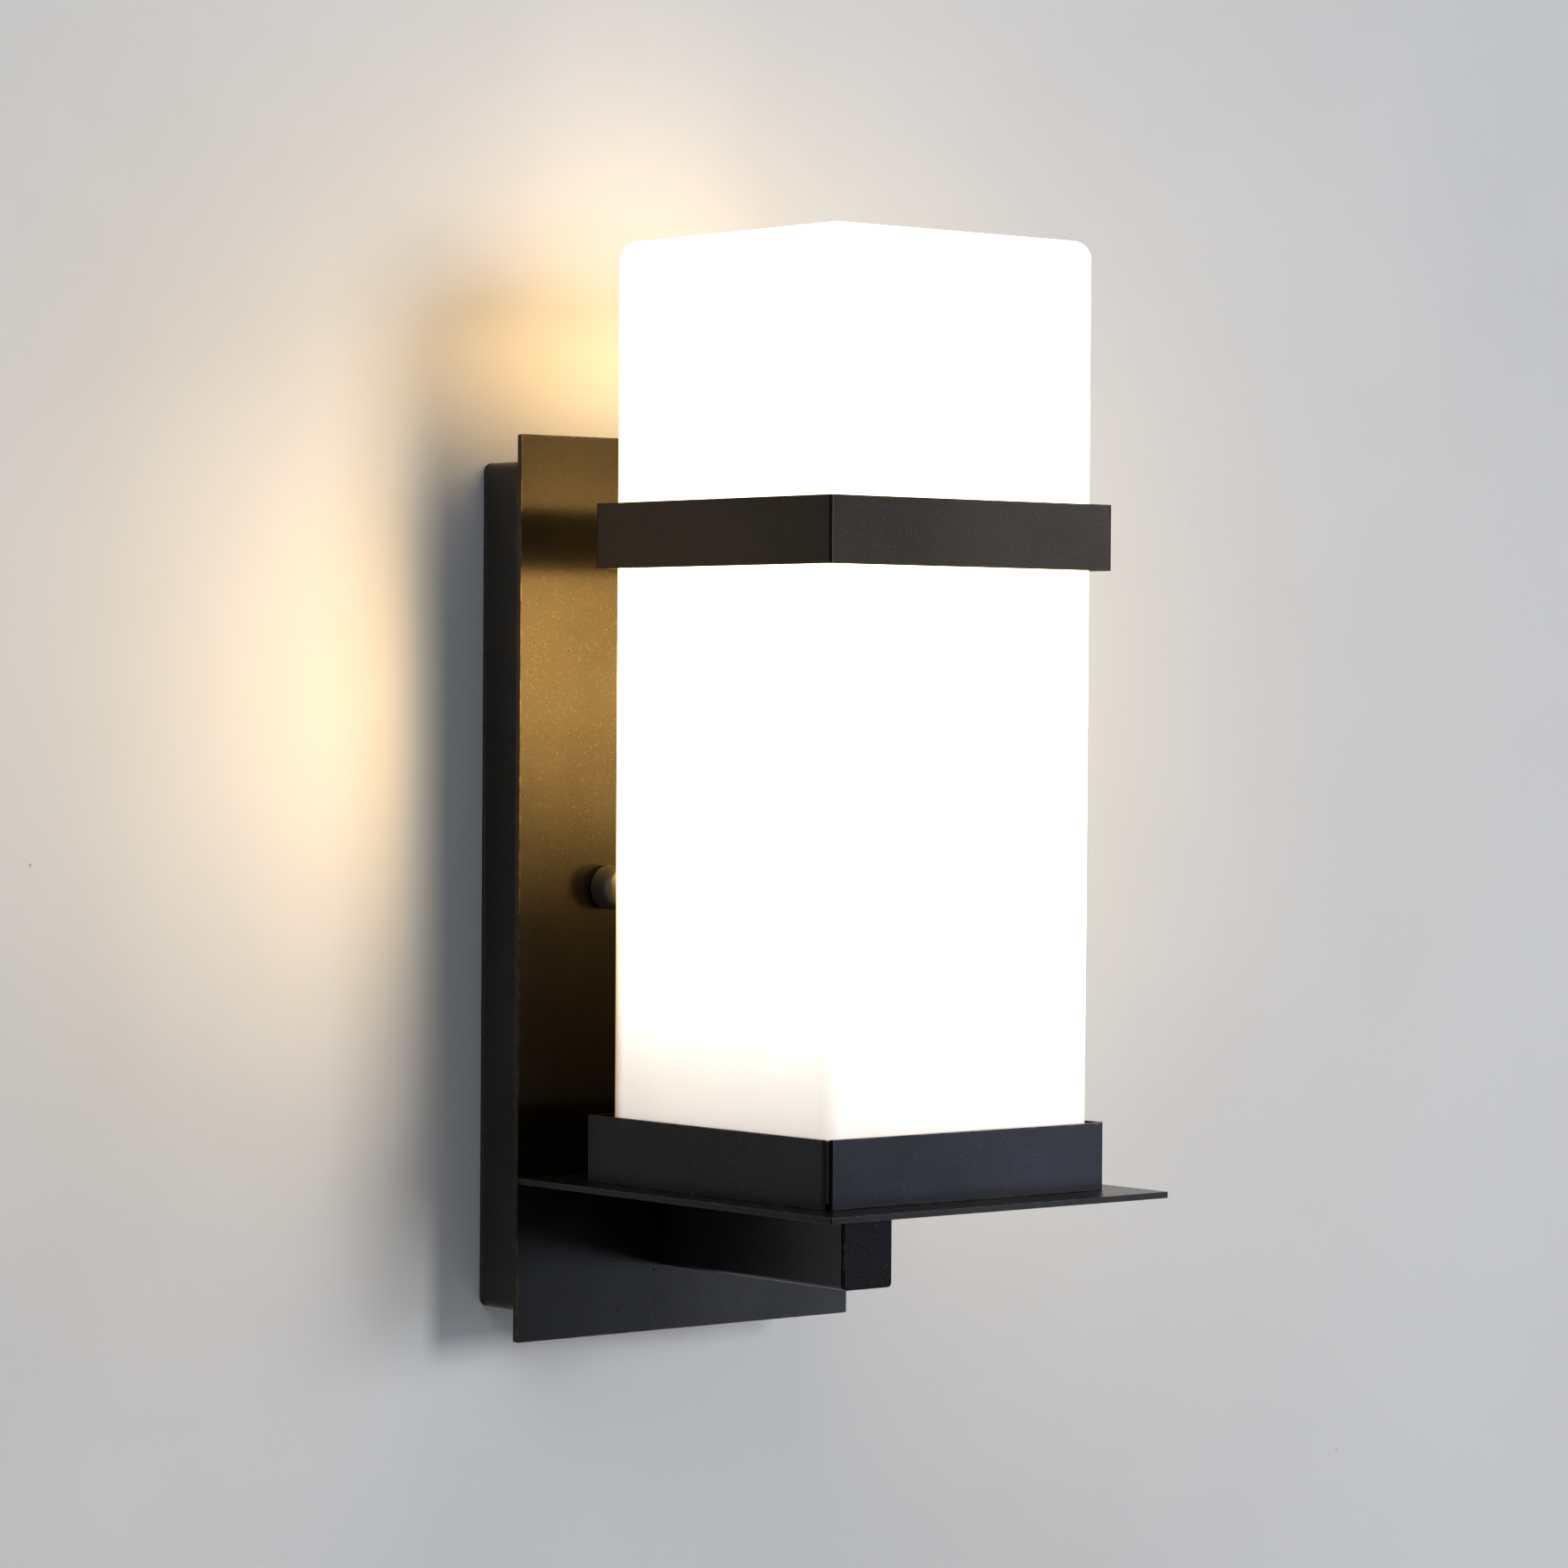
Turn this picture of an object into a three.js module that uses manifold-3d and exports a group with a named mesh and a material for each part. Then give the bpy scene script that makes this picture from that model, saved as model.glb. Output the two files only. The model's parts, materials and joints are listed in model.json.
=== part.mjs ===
// An outdoor wall lantern: a square opal glass shade standing in a collar on a shelf, held upright by a
// band near its top. Shelf and band are carried by two arms on a flat back plate, the plate covers a
// shallow wall pan, and two cap nuts pull pan and plate onto studs in a crossbar on the wall.
//
// Millimetres. +X is to the right, +Y goes into the wall and +Z is up. The wall is the plane y = 0, and the
// origin is the middle of the crossbar's back face, halfway up the plate.
import * as THREE from "three";
import { mergeVertices } from "three/addons/utils/BufferGeometryUtils.js";
import Module from "manifold-3d";

const wasm = await Module();
wasm.setup();

// ---- Driving dimensions -------------------------------------------------------------------------------
const GAP = 0.2; // assembly clearance between pieces that touch
const PLATE = { width: 140, height: 294, thickness: 2, front: -34 };
const PAN = { width: 120, height: 278, wall: 1.6, corner: 3 };
const GASKET = { thickness: 2, width: 5 };
const CROSSBAR = { length: 106, height: 30, thickness: 2, corner: 4 };
const STUD = { spacing: 70, radius: 2.5, holeRadius: 2.7 };
const CAP_NUT = { radius: 7.25, length: 12, rim: 1, socketDepth: 9 };
const SHADE = { width: 110, wall: 3, corner: 6, centre: -117, top: 208 };
const SHELF = { depth: 157.5, thickness: 2, top: -93.5 };
const COLLAR = { width: 117, depth: 119, wall: 1.6, notch: 2.5, height: 21.5, flange: 14 };
const BAND = { width: 117, wall: 1.8, corner: 1.1, height: 21, bottom: 103.3 };
const ARM = { width: 20, height: 30, wall: 1.5, front: -127, corner: 1.5 };
const SPACER = { width: 20, height: 19 };
const CUSHION = { thickness: 1.5, width: 5.8, clearance: 0.3, padReach: 9 };
const NIPPLE = { radius: 4.9, bore: 3.5, bottom: -104, top: -83.5 };
const SCREW_M4 = { radius: 2, hole: 2.2, head: 4, headHeight: 2.6 };
const SCREW_M3 = { radius: 1.5, hole: 1.65, head: 2.9, headHeight: 1.5 };
const WIRE = { radius: 1.1 };

// ---- Derived places -----------------------------------------------------------------------------------
const plateBack = PLATE.front + PLATE.thickness;
const panFront = plateBack + GAP;
const panInside = panFront + PAN.wall;
const panRim = -GASKET.thickness - GAP / 2;
const shelfBottom = SHELF.top - SHELF.thickness;
const shelfFront = PLATE.front - SHELF.depth;
const armTop = shelfBottom - GAP;
const armBottom = armTop - ARM.height;
const armMiddle = (armTop + armBottom) / 2;
const armScrewOffset = 9.5;
const spacerMiddle = BAND.bottom + BAND.height / 2;
const spacerScrewOffset = 5.5;
const flangeTop = SHELF.top + GAP / 2 + COLLAR.wall;
const cushionTop = flangeTop + GAP / 2 + CUSHION.thickness;
const shadeBottom = cushionTop + GAP / 2;
const collarTop = SHELF.top + COLLAR.height;
const collarFront = SHADE.centre - COLLAR.width / 2;
const collarBack = collarFront + COLLAR.depth;
const bandBack = SHADE.centre + BAND.width / 2;
const studX = STUD.spacing / 2;

// ---- Materials ----------------------------------------------------------------------------------------
const paint = (color, roughness, metalness) =>
  new THREE.MeshStandardMaterial({ color, roughness, metalness });
const bronze = paint(0x1d1a18, 0.42, 0.6);
const opalGlass = paint(0xfdf9f0, 0.25, 0);
const steel = paint(0x9a9c9e, 0.35, 1);
const brass = paint(0xb9964c, 0.35, 1);
const porcelain = paint(0xece9e2, 0.2, 0);
const silicone = paint(0xd9d7d2, 0.6, 0);
const rubber = paint(0x1a1a1a, 0.8, 0);
const foam = paint(0x2a2a2b, 0.95, 0);
const whitePlastic = paint(0xf1efea, 0.45, 0);
const frosted = paint(0xfbf3e2, 0.5, 0);
const blackSheath = paint(0x141414, 0.5, 0);
const whiteSheath = paint(0xe6e3dc, 0.5, 0);
const greenSheath = paint(0x2c7a3c, 0.5, 0);
const greenSteel = paint(0x2c7a3c, 0.35, 0.8);
const orangePlastic = paint(0xd8702a, 0.45, 0);

// ---- Solids -------------------------------------------------------------------------------------------
// A closed three.js geometry as a manifold solid.
function solid(geometry) {
  const bare = geometry.clone();
  bare.deleteAttribute("normal");
  bare.deleteAttribute("uv");
  const merged = mergeVertices(bare, 1e-4);
  const vertProperties = merged.attributes.position.array;
  const facing = (triVerts) => new wasm.Manifold(new wasm.Mesh({ numProp: 3, vertProperties, triVerts }));
  const made = facing(new Uint32Array(merged.index.array));
  return made.volume() < 0 ? facing(new Uint32Array(merged.index.array).reverse()) : made;
}

const cut = (body, ...tools) => tools.reduce((left, tool) => left.subtract(tool), body);
const join = (body, ...others) => others.reduce((whole, other) => whole.add(other), body);

// A box between two corners, each given as [x, y, z].
function box(low, high) {
  const size = high.map((value, i) => value - low[i]);
  const middle = high.map((value, i) => (value + low[i]) / 2);
  return solid(new THREE.BoxGeometry(...size).translate(...middle));
}

// A cylinder along one axis, from one place on it to another, with its centre line at two coordinates
// given in x, y, z order.
function rod(axis, radius, from, to, [first, second], sides = 12) {
  const geometry = new THREE.CylinderGeometry(radius, radius, to - from, sides);
  const middle = (from + to) / 2;
  if (axis === "x") return solid(geometry.rotateZ(Math.PI / 2).translate(middle, first, second));
  if (axis === "y") return solid(geometry.translate(first, middle, second));
  return solid(geometry.rotateX(Math.PI / 2).translate(first, second, middle));
}

// A rectangle with round corners, centred on the shape's own origin.
function roundedRectangle(width, height, corner) {
  const [x, y] = [width / 2, height / 2];
  const shape = new THREE.Shape();
  shape.moveTo(x - corner, -y);
  shape.absarc(x - corner, -y + corner, corner, -Math.PI / 2, 0, false);
  shape.absarc(x - corner, y - corner, corner, 0, Math.PI / 2, false);
  shape.absarc(-x + corner, y - corner, corner, Math.PI / 2, Math.PI, false);
  shape.absarc(-x + corner, -y + corner, corner, Math.PI, Math.PI * 1.5, false);
  return shape;
}

// A shape drawn in x and z, thickened along y from front to back.
function sheetY(shape, front, back, z = 0, x = 0, curveSegments = 3) {
  const options = { depth: back - front, bevelEnabled: false, curveSegments };
  return solid(new THREE.ExtrudeGeometry(shape, options).rotateX(Math.PI / 2).translate(x, back, z));
}

// A shape drawn in x and y, thickened along z from bottom to top.
function sheetZ(shape, bottom, top, y = 0, x = 0, curveSegments = 3) {
  const options = { depth: top - bottom, bevelEnabled: false, curveSegments };
  return solid(new THREE.ExtrudeGeometry(shape, options).translate(x, y, bottom));
}

// A turned body: its outline is a list of [radius, height], and it stands on the axis x, y along +Z.
function turned(outline, [x, y], sides = 24) {
  const points = outline.map(([radius, height]) => new THREE.Vector2(radius, height));
  return solid(new THREE.LatheGeometry(points, sides).rotateX(Math.PI / 2).translate(x, y, 0));
}

// The same turned body laid along the y axis at x, z: a height becomes a distance out from the wall.
function turnedOut(outline, [x, z], sides = 24) {
  const points = outline.map(([radius, out]) => new THREE.Vector2(radius, out));
  return solid(new THREE.LatheGeometry(points, sides).rotateX(Math.PI).translate(x, 0, z));
}

// A hexagonal prism along an axis, by its width across the flats.
function hexagon(axis, flats, from, to, place) {
  return rod(axis, flats / Math.sqrt(3), from, to, place, 6);
}

// A square block with all edges round above its base: rings of a rounded square that shrink over the top.
function roundedBlock(width, corner, bottom, top, y) {
  const [arcSteps, domeSteps] = [4, 4];
  const rings = [ringAt(width, corner, bottom, y, arcSteps)];
  for (let i = 0; i <= domeSteps; i++) {
    const turn = ((Math.PI / 2) * i) / domeSteps;
    const inset = corner * (1 - Math.cos(turn));
    const round = Math.max(corner - inset, corner / 50);
    rings.push(ringAt(width - 2 * inset, round, top - corner + corner * Math.sin(turn), y, arcSteps));
  }
  return loft(rings);
}

// The points of a rounded square at one height, anticlockwise from above.
function ringAt(width, corner, z, y, arcSteps) {
  const reach = width / 2 - corner;
  const quarters = [[1, -1], [1, 1], [-1, 1], [-1, -1]];
  return quarters.flatMap(([sx, sy], quarter) =>
    Array.from({ length: arcSteps + 1 }, (_, i) => {
      const angle = (Math.PI / 2) * (quarter - 1 + i / arcSteps);
      return [sx * reach + corner * Math.cos(angle), y + sy * reach + corner * Math.sin(angle), z];
    }),
  );
}

// A closed body through rings of equal length, from the lowest to the highest.
function loft(rings) {
  const count = rings[0].length;
  const index = [];
  for (let level = 0; level + 1 < rings.length; level++) {
    for (let i = 0; i < count; i++) {
      const [a, b] = [level * count + i, level * count + ((i + 1) % count)];
      index.push(a, b, b + count, a, b + count, a + count);
    }
  }
  const last = (rings.length - 1) * count;
  for (let i = 1; i + 1 < count; i++) index.push(0, i + 1, i, last, last + i, last + i + 1);
  const geometry = new THREE.BufferGeometry();
  geometry.setAttribute("position", new THREE.Float32BufferAttribute(rings.flat(2), 3));
  geometry.setIndex(index);
  return solid(geometry);
}

// A round wire along a smooth curve through points.
function wire(points, radius, steps) {
  const path = new THREE.CatmullRomCurve3(points.map((point) => new THREE.Vector3(...point)));
  const section = new THREE.Shape().absarc(0, 0, radius, 0, Math.PI * 2, false);
  return solid(new THREE.ExtrudeGeometry(section, { steps, extrudePath: path, curveSegments: 4 }));
}

const lantern = new THREE.Group();

// Adds a solid to the lantern as a named mesh.
function piece(name, material, body) {
  const made = body.getMesh();
  const geometry = new THREE.BufferGeometry();
  const positions = new Float32Array(made.numVert * 3);
  for (let i = 0; i < made.numVert; i++) {
    const start = i * made.numProp;
    positions.set(made.vertProperties.subarray(start, start + 3), i * 3);
  }
  geometry.setAttribute("position", new THREE.BufferAttribute(positions, 3));
  geometry.setIndex(new THREE.BufferAttribute(made.triVerts, 1));
  geometry.computeVertexNormals();
  const mesh = new THREE.Mesh(geometry, material.clone());
  mesh.name = name;
  lantern.add(mesh);
  return mesh;
}

const sides = [["left", -1], ["right", 1]];
const ends = [["lower", -1], ["upper", 1]];

// ---- Wall fixing: gasket, crossbar, studs and their lock nuts -----------------------------------------
function wallGasket() {
  const outer = sheetY(roundedRectangle(PAN.width, PAN.height, PAN.corner), -GASKET.thickness, 0);
  const [width, height] = [PAN.width - 2 * GASKET.width, PAN.height - 2 * GASKET.width];
  const hole = roundedRectangle(width, height, PAN.corner / 2);
  return cut(outer, sheetY(hole, -GASKET.thickness - 1, 1));
}

const boxScrewSlot = { middle: 45, length: 10, width: 5 };
const groundScrewAt = [0, -9];
const wireUnderHead = 2 * WIRE.radius + 0.3; // room for a lead under a raised screw head

function crossbar() {
  const outline = roundedRectangle(CROSSBAR.length, CROSSBAR.height, CROSSBAR.corner);
  let bar = sheetY(outline, -CROSSBAR.thickness, 0);
  const slot = roundedRectangle(boxScrewSlot.length, boxScrewSlot.width, boxScrewSlot.width / 2 - 0.01);
  for (const [, side] of sides) {
    const studHole = rod("y", STUD.holeRadius, -CROSSBAR.thickness - 1, 1, [side * studX, 0]);
    const boxSlot = sheetY(slot, -CROSSBAR.thickness - 1, 1, 0, side * boxScrewSlot.middle);
    bar = cut(bar, studHole, boxSlot);
  }
  return cut(bar, rod("y", SCREW_M4.hole, -CROSSBAR.thickness - 1, 1, groundScrewAt));
}

const studTip = PLATE.front - CAP_NUT.socketDepth;

function groundScrew() {
  const seat = -CROSSBAR.thickness - wireUnderHead;
  const head = hexagon("y", 8, seat - SCREW_M4.headHeight, seat, groundScrewAt);
  return join(head, rod("y", SCREW_M4.radius, seat - 1, -GAP, groundScrewAt));
}

function lockNut(x) {
  const front = -CROSSBAR.thickness - 3.4;
  const hole = rod("y", STUD.holeRadius, front - 1, 0, [x, 0]);
  return cut(hexagon("y", 8, front, -CROSSBAR.thickness - GAP, [x, 0]), hole);
}

piece("wall_gasket", foam, wallGasket());
piece("wall_crossbar", steel, crossbar());
piece("crossbar_ground_screw", greenSteel, groundScrew());
for (const [label, side] of sides) {
  piece(`mounting_stud_${label}`, steel, rod("y", STUD.radius, studTip, -GAP, [side * studX, 0], 16));
  piece(`stud_lock_nut_${label}`, steel, lockNut(side * studX));
}

// ---- Wall pan and back plate --------------------------------------------------------------------------
const wireHole = 4.5; // radius, through pan and plate, lined by the grommet
const wireBore = 3.2;
const panGroundAt = [44, -42];

// The holes that pan and plate share: studs, arm screws, spacer screws and the wire hole.
function sharedHoles() {
  const through = (radius, place) => rod("y", radius, PLATE.front - 5, panInside + 5, place);
  const studs = sides.map(([, side]) => through(STUD.holeRadius + 0.3, [side * studX, 0]));
  const arm = ends.map(([, end]) => through(SCREW_M4.hole, [0, armMiddle + end * armScrewOffset]));
  const spacer = sides.map(([, side]) => through(SCREW_M4.hole, [side * spacerScrewOffset, spacerMiddle]));
  return [...studs, ...arm, ...spacer, through(wireHole, [0, armMiddle])];
}

function wallPan() {
  const shell = sheetY(roundedRectangle(PAN.width, PAN.height, PAN.corner), panFront, panRim);
  const [width, height] = [PAN.width - 2 * PAN.wall, PAN.height - 2 * PAN.wall];
  const inside = roundedRectangle(width, height, PAN.corner - PAN.wall);
  const groundHole = rod("y", SCREW_M3.hole, panFront - 1, panInside + 1, panGroundAt);
  return cut(shell, sheetY(inside, panInside, 5), ...sharedHoles(), groundHole);
}

function backPlate() {
  const outline = roundedRectangle(PLATE.width, PLATE.height, 0.6);
  return cut(sheetY(outline, PLATE.front, plateBack, 0, 0, 2), ...sharedHoles());
}

// A soft sleeve through plate and pan with a flange inside the pan.
function wireGrommet() {
  const sleeve = rod("y", wireHole - GAP, PLATE.front + GAP, panInside + 1, [0, armMiddle]);
  const flange = rod("y", wireHole + 0.8, panInside + GAP / 2, panInside + 1.5, [0, armMiddle]);
  return cut(join(sleeve, flange), rod("y", wireBore, PLATE.front - 1, panInside + 2, [0, armMiddle]));
}

piece("wall_pan", bronze, wallPan());
piece("back_plate", bronze, backPlate());
piece("wire_grommet", rubber, wireGrommet());

// ---- Cap nuts with their sealing washers --------------------------------------------------------------
function sealingWasher(x) {
  const [front, back] = [PLATE.front - 0.8 - GAP / 2, PLATE.front - GAP / 2];
  return cut(rod("y", 5.8, front, back, [x, 0]), rod("y", STUD.holeRadius, front - 1, 0, [x, 0]));
}

function capNut(x) {
  const base = -PLATE.front + 0.8 + GAP;
  const { radius, length, rim, socketDepth } = CAP_NUT;
  const bore = STUD.holeRadius;
  const dome = Array.from({ length: 6 }, (_, i) => {
    const turn = ((Math.PI / 2) * i) / 5;
    return [radius * Math.cos(turn), base + length - 4 + 4 * Math.sin(turn)];
  });
  dome[5][0] = 0;
  const socket = [[0, base + socketDepth], [bore, base + socketDepth], [bore, base]];
  const outline = [...socket, [radius - rim, base], [radius, base + rim], ...dome];
  return turnedOut(outline, [x, 0]);
}

for (const [label, side] of sides) {
  piece(`sealing_washer_${label}`, rubber, sealingWasher(side * studX));
  piece(`cap_nut_${label}`, bronze, capNut(side * studX));
}

// ---- Lower arm: tube, end cap, rear block and its screws ----------------------------------------------
const capThickness = 1.5;
const blockDepth = 10;
const shelfScrewY = [-77, -97];

function armTube() {
  const front = ARM.front + capThickness + GAP / 2;
  const back = PLATE.front - GAP;
  const outer = sheetY(roundedRectangle(ARM.width, ARM.height, ARM.corner), front, back, armMiddle);
  const inner = roundedRectangle(ARM.width - 2 * ARM.wall, ARM.height - 2 * ARM.wall, 0.3);
  const nippleHole = rod("z", NIPPLE.radius + 0.25, armTop - 5, armTop + 5, [0, SHADE.centre]);
  const screwHoles = shelfScrewY.map((y) => rod("z", SCREW_M3.hole, armTop - 5, armTop + 5, [0, y], 16));
  return cut(outer, sheetY(inner, front - 1, back + 1, armMiddle, 0, 1), nippleHole, ...screwHoles);
}

function armEndCap() {
  const outline = roundedRectangle(ARM.width, ARM.height, ARM.corner);
  return sheetY(outline, ARM.front, ARM.front + capThickness, armMiddle);
}

function armRearBlock() {
  const back = PLATE.front - GAP;
  const inside = roundedRectangle(ARM.width - 2 * ARM.wall - 0.4, ARM.height - 2 * ARM.wall - 0.4, 0.3);
  const body = sheetY(inside, back - blockDepth, back, armMiddle, 0, 1);
  const through = (radius, z) => rod("y", radius, back - blockDepth - 1, back + 1, [0, z]);
  const threads = ends.map(([, end]) => through(SCREW_M4.hole, armMiddle + end * armScrewOffset));
  return cut(body, through(wireBore, armMiddle), ...threads);
}

// A pan-head screw from inside the pan, through pan and plate into a block in front of them.
function panScrew([x, z]) {
  const seat = panInside + GAP / 2;
  const head = rod("y", SCREW_M4.head, seat, seat + SCREW_M4.headHeight, [x, z]);
  return join(head, rod("y", SCREW_M4.radius, PLATE.front - 8, seat + 1, [x, z]));
}

// A pan-head screw straight down through the shelf into the arm.
function shelfScrew(y) {
  const seat = SHELF.top + GAP / 2;
  const head = rod("z", SCREW_M3.head, seat, seat + SCREW_M3.headHeight, [0, y], 20);
  return join(head, rod("z", SCREW_M3.radius, armTop - 4, seat + 1, [0, y], 16));
}

piece("lower_arm_tube", bronze, armTube());
piece("lower_arm_end_cap", bronze, armEndCap());
piece("lower_arm_rear_block", steel, armRearBlock());
for (const [label, end] of ends) {
  piece(`arm_screw_${label}`, steel, panScrew([0, armMiddle + end * armScrewOffset]));
}

// ---- Shelf, collar and glass cushion ------------------------------------------------------------------
const rivetReach = COLLAR.width / 2 - COLLAR.flange + 3.5;
const rivets = [["front_left", -1, -1], ["front_right", 1, -1], ["back_left", -1, 1], ["back_right", 1, 1]];
const rivetPlace = ([, sx, sy]) => [sx * rivetReach, SHADE.centre + sy * rivetReach];
const drainReach = 30;

function shelf() {
  const outline = roundedRectangle(PLATE.width, SHELF.depth - GAP, 0.6);
  const middle = (shelfFront + PLATE.front - GAP) / 2;
  const plate = sheetZ(outline, shelfBottom, SHELF.top, middle, 0, 2);
  const through = (radius, x, y) => rod("z", radius, shelfBottom - 1, SHELF.top + 1, [x, y], 16);
  const nippleHole = rod("z", NIPPLE.radius + 0.25, shelfBottom - 1, SHELF.top + 1, [0, SHADE.centre]);
  const screwHoles = shelfScrewY.map((y) => through(SCREW_M3.hole, 0, y));
  const drains = sides.map(([, side]) => through(2, side * drainReach, SHADE.centre));
  const rivetHoles = rivets.map((rivet) => through(SCREW_M3.hole, ...rivetPlace(rivet)));
  return cut(plate, nippleHole, ...screwHoles, ...drains, ...rivetHoles);
}

const thumbScrew = { z: SHELF.top + 12, radius: 2, hole: 2.2, head: 5, headLength: 6, tip: 1.8 };

// The collar is folded sheet: a flange with four flaps turned up from it. Its rear corners are closed and an
// open notch stands at each front corner. Behind the glass it runs back a little further than in front.
function collar() {
  const foot = SHELF.top + GAP / 2;
  const reach = COLLAR.width / 2;
  const block = (inset, bottom, top) =>
    box([inset - reach, collarFront + inset, bottom], [reach - inset, collarBack - inset, top]);
  const opening = COLLAR.width - 2 * COLLAR.flange;
  const mouth = sheetZ(roundedRectangle(opening, opening, 3), foot - 1, flangeTop + 1, SHADE.centre);
  const notches = sides.map(([, side]) => {
    const [near, far] = [side * (reach - COLLAR.notch), side * (reach + 1)];
    const low = [Math.min(near, far), collarFront - 1, foot - 1];
    return box(low, [Math.max(near, far), collarFront + COLLAR.notch, collarTop + 1]);
  });
  const drill = (rivet) => rod("z", SCREW_M3.hole, foot - 1, flangeTop + 1, rivetPlace(rivet));
  const screwHole = rod("y", thumbScrew.hole, collarBack - 5, collarBack + 5, [0, thumbScrew.z]);
  const bay = block(COLLAR.wall, flangeTop, collarTop + 1);
  return cut(block(0, foot, collarTop), bay, mouth, ...notches, ...rivets.map(drill), screwHole);
}

// A rivet with a flat head on the flange and a formed head under the shelf.
function collarRivet(place) {
  const head = (from, to) => rod("z", SCREW_M3.head - 0.6, from, to, place, 16);
  const upper = head(flangeTop + GAP / 2, flangeTop + GAP / 2 + 1);
  const lower = head(shelfBottom - 1, shelfBottom - GAP / 2);
  return join(upper, lower, rod("z", SCREW_M3.radius, shelfBottom - 0.5, flangeTop + 0.5, place, 16));
}

// A rubber ring under the glass edge, with an upright pad round each corner that keeps the glass centred.
function shadeCushion() {
  const [bottom, top] = [flangeTop + GAP / 2, collarTop - 0.5];
  const { clearance, padReach, thickness, width } = CUSHION;
  const outer = COLLAR.width - 2 * COLLAR.wall - GAP;
  const inner = outer - 2 * width;
  const room = SHADE.width + 2 * clearance;
  const half = outer / 2;
  const block = sheetZ(roundedRectangle(outer, outer, 0.8), bottom, top, SHADE.centre);
  const hole = sheetZ(roundedRectangle(inner, inner, 2), bottom - 1, top + 1, SHADE.centre);
  const roomShape = roundedRectangle(room, room, SHADE.corner + clearance);
  const glassRoom = sheetZ(roomShape, bottom + thickness, top + 1, SHADE.centre);
  const between = (wide, deep) =>
    box([-wide, SHADE.centre - deep, bottom + thickness], [wide, SHADE.centre + deep, top + 1]);
  const gaps = [between(half - padReach, half + 1), between(half + 1, half - padReach)];
  return cut(block, hole, glassRoom, ...gaps);
}

piece("shelf", bronze, shelf());
piece("shade_collar", bronze, collar());
piece("shade_cushion", rubber, shadeCushion());
for (const rivet of rivets) {
  piece(`collar_rivet_${rivet[0]}`, steel, collarRivet(rivetPlace(rivet)));
}
["rear", "front"].forEach((label, i) => piece(`shelf_screw_${label}`, steel, shelfScrew(shelfScrewY[i])));

// ---- Thumb screw behind the collar: weld nut, screw and soft tip --------------------------------------
const glassBack = SHADE.centre + SHADE.width / 2;
const tipEnd = glassBack + GAP + 3;

function thumbScrewNut() {
  const [front, back] = [collarBack + GAP / 2, collarBack + 3];
  const hole = rod("y", thumbScrew.hole, front - 1, back + 1, [0, thumbScrew.z]);
  return cut(hexagon("y", 7, front, back, [0, thumbScrew.z]), hole);
}

// A knob with flutes round it on a plain shank.
function thumbScrewBody() {
  const seat = collarBack + 4.6;
  const knob = rod("y", thumbScrew.head, seat, seat + thumbScrew.headLength, [0, thumbScrew.z], 30);
  const flutes = Array.from({ length: 10 }, (_, i) => {
    const turn = (Math.PI * 2 * i) / 10;
    const reach = thumbScrew.head + 0.3;
    const place = [reach * Math.cos(turn), thumbScrew.z + reach * Math.sin(turn)];
    return rod("y", 0.8, seat - 1, seat + thumbScrew.headLength + 1, place, 8);
  });
  const shank = rod("y", thumbScrew.radius, tipEnd + GAP / 2, seat + 1, [0, thumbScrew.z]);
  return join(cut(knob, ...flutes), shank);
}

function thumbScrewTip() {
  return rod("y", thumbScrew.tip, glassBack + GAP, tipEnd, [0, thumbScrew.z], 20);
}

piece("thumb_screw_nut", steel, thumbScrewNut());
piece("thumb_screw", steel, thumbScrewBody());
piece("thumb_screw_tip", whitePlastic, thumbScrewTip());

// ---- Band round the glass, its liner, spacer and screws -----------------------------------------------
const bandInner = BAND.width - 2 * BAND.wall;
function band() {
  const top = BAND.bottom + BAND.height;
  const outline = roundedRectangle(BAND.width, BAND.width, BAND.corner);
  const ring = sheetZ(outline, BAND.bottom, top, SHADE.centre);
  const inside = roundedRectangle(bandInner, bandInner, 0.4);
  const hollow = sheetZ(inside, BAND.bottom - 1, top + 1, SHADE.centre, 0, 2);
  const holes = sides.map(([, side]) =>
    rod("y", SCREW_M3.hole, bandBack - 5, bandBack + 5, [side * spacerScrewOffset, spacerMiddle], 16),
  );
  return cut(ring, hollow, ...holes);
}

// The block between plate and band, drilled from both ends.
function bandSpacer() {
  const [front, back] = [bandBack + GAP, PLATE.front - GAP];
  const outline = roundedRectangle(SPACER.width, SPACER.height, 1);
  const body = sheetY(outline, front, back, spacerMiddle, 0, 3);
  const rear = sides.map(([, side]) =>
    rod("y", SCREW_M4.hole, back - 10, back + 1, [side * spacerScrewOffset, spacerMiddle]),
  );
  const fore = sides.map(([, side]) =>
    rod("y", SCREW_M3.hole, front - 1, front + 8, [side * spacerScrewOffset, spacerMiddle], 16),
  );
  return cut(body, ...rear, ...fore);
}

// A thin-headed screw from inside the band into the spacer, clear of the glass.
function bandScrew(x) {
  const place = [x, spacerMiddle];
  const seat = bandBack - BAND.wall - GAP / 2;
  const head = rod("y", SCREW_M3.head, seat - 0.8, seat, place, 20);
  return join(head, rod("y", SCREW_M3.radius, seat - 0.4, bandBack + 6, place, 16));
}

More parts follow.
